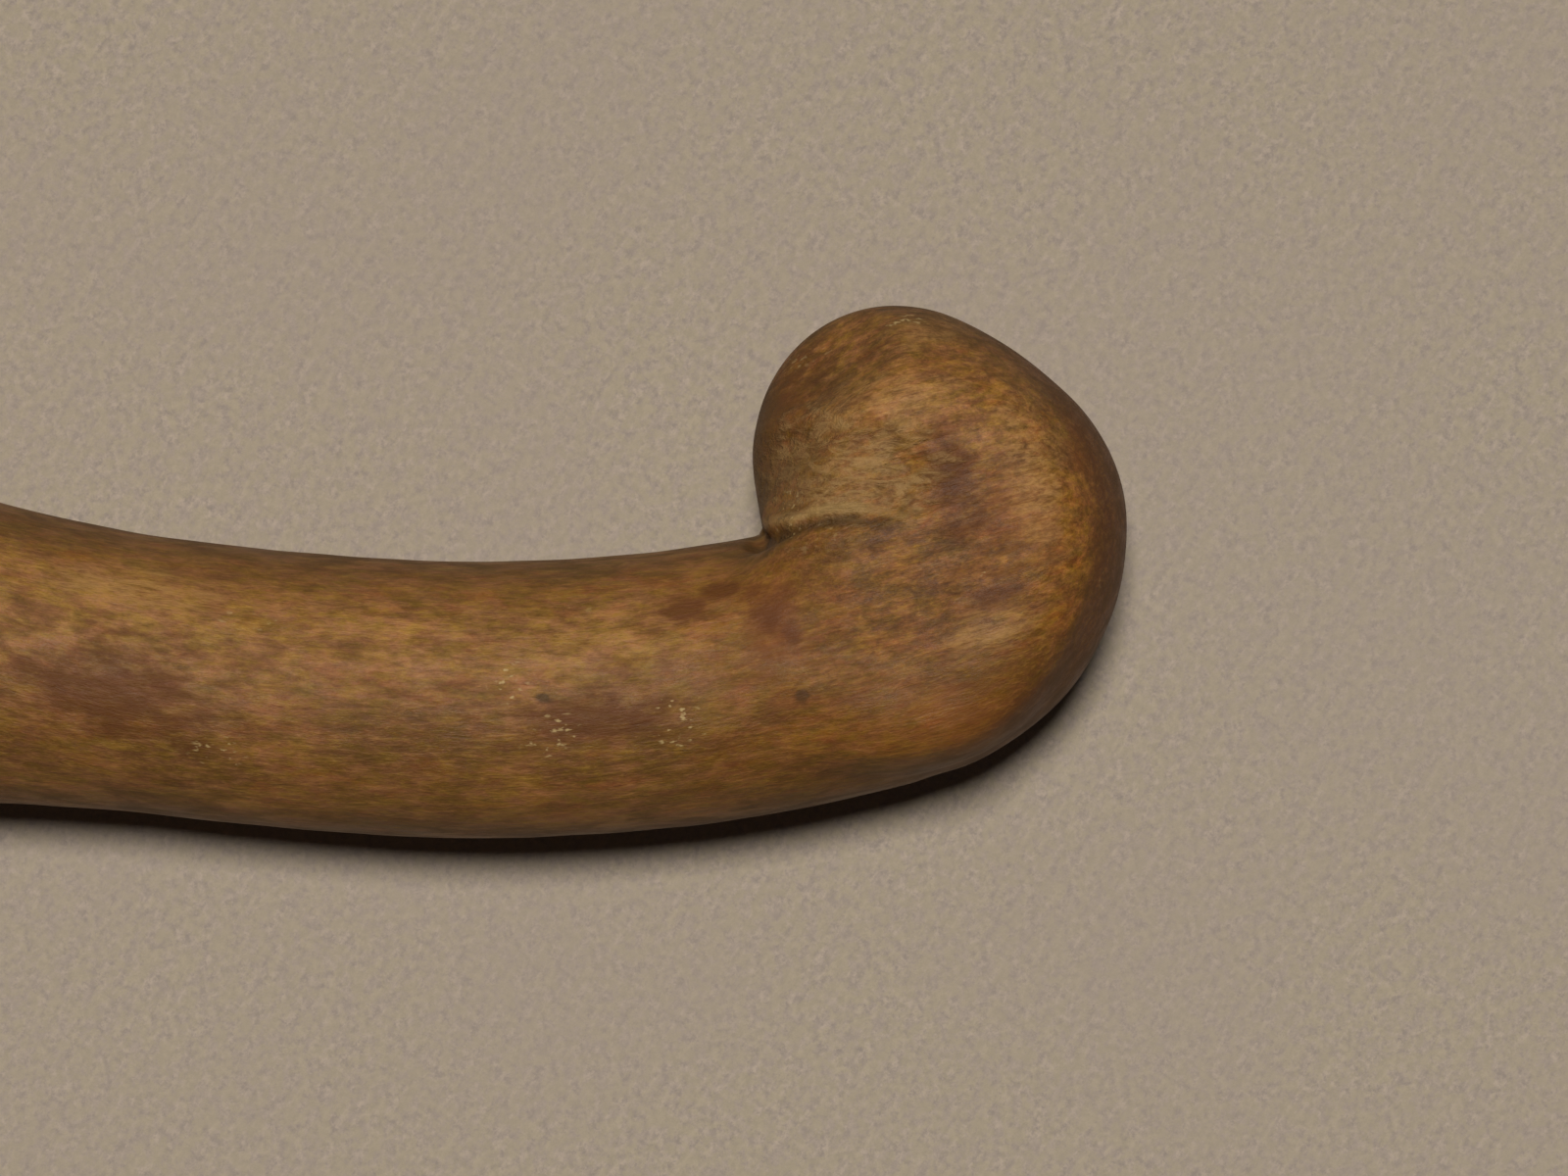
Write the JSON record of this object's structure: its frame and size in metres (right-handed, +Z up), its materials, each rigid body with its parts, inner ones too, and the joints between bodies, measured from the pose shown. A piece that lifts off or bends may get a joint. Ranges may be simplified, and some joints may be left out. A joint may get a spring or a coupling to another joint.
{
  "type": "shuffleboard cue",
  "caption": "Wooden shuffleboard cue: a long tapered shaft with a steam-bent crescent head ending in two in-turned knobs, a leather grip and a turned butt cap.",
  "frame": {"origin": "on the floor under the middle of the cue's length, on the cue's plane of symmetry", "axes": "+X along the shaft from the butt to the crescent head, +Y to the left across the head, +Z up; the cue lies flat"},
  "size_m": [1.4732, 0.181, 0.024],
  "materials": {
    "head_wood": "hand-worn dark brown bentwood with short pale pores, waxed and rubbed lighter on top",
    "shaft_wood": "straight-grained brown ash or hickory, worn varnish",
    "peg_wood": "end grain, dark",
    "cap_wood": "turned dark hardwood, satin",
    "brass": "aged brass, dull with bright rubbed edges",
    "grip_leather": "dark brown wrapped leather, polished by hands",
    "whipping_thread": "waxed linen thread, closely wound"
  },
  "bodies": {
    "root": {"bent_head": "head_wood", "shaft": "shaft_wood", "tenon_wedge": "shaft_wood", "head_peg": "peg_wood", "ferrule": "brass", "ferrule_pins": "brass", "grip_leather": "grip_leather", "grip_whipping_front": "whipping_thread", "grip_whipping_rear": "whipping_thread", "butt_cap": "cap_wood", "cup_washer": "brass", "butt_screw": "brass"}
  },
  "joints": []
}
